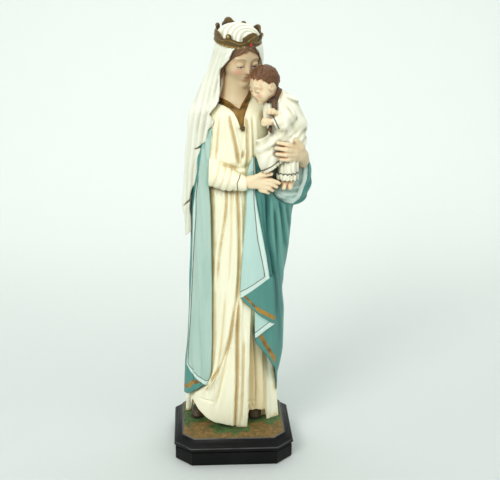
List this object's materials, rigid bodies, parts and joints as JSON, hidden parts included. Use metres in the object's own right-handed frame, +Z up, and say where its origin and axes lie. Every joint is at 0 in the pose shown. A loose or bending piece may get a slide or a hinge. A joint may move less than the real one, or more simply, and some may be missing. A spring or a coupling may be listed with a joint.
{
  "type": "virgin and child statue",
  "caption": "Standing crowned and veiled mother carrying a child on her left arm, painted cast plaster on a moulded black plinth.",
  "frame": {"origin": "middle of the plinth's flat underside", "axes": "+Z up; -Y to the front, the way the figure faces; +X to the viewer's right"},
  "size_m": [0.1576, 0.1256, 0.4995],
  "materials": {
    "painted_plaster": "hand-painted plaster, satin: ivory gown, teal mantle, pale aqua lining, white veil, glossy black plinth",
    "red_paste": "polished red paste stone"
  },
  "bodies": {
    "root": {"statue": "painted_plaster", "crown_jewel": "red_paste"}
  },
  "joints": []
}
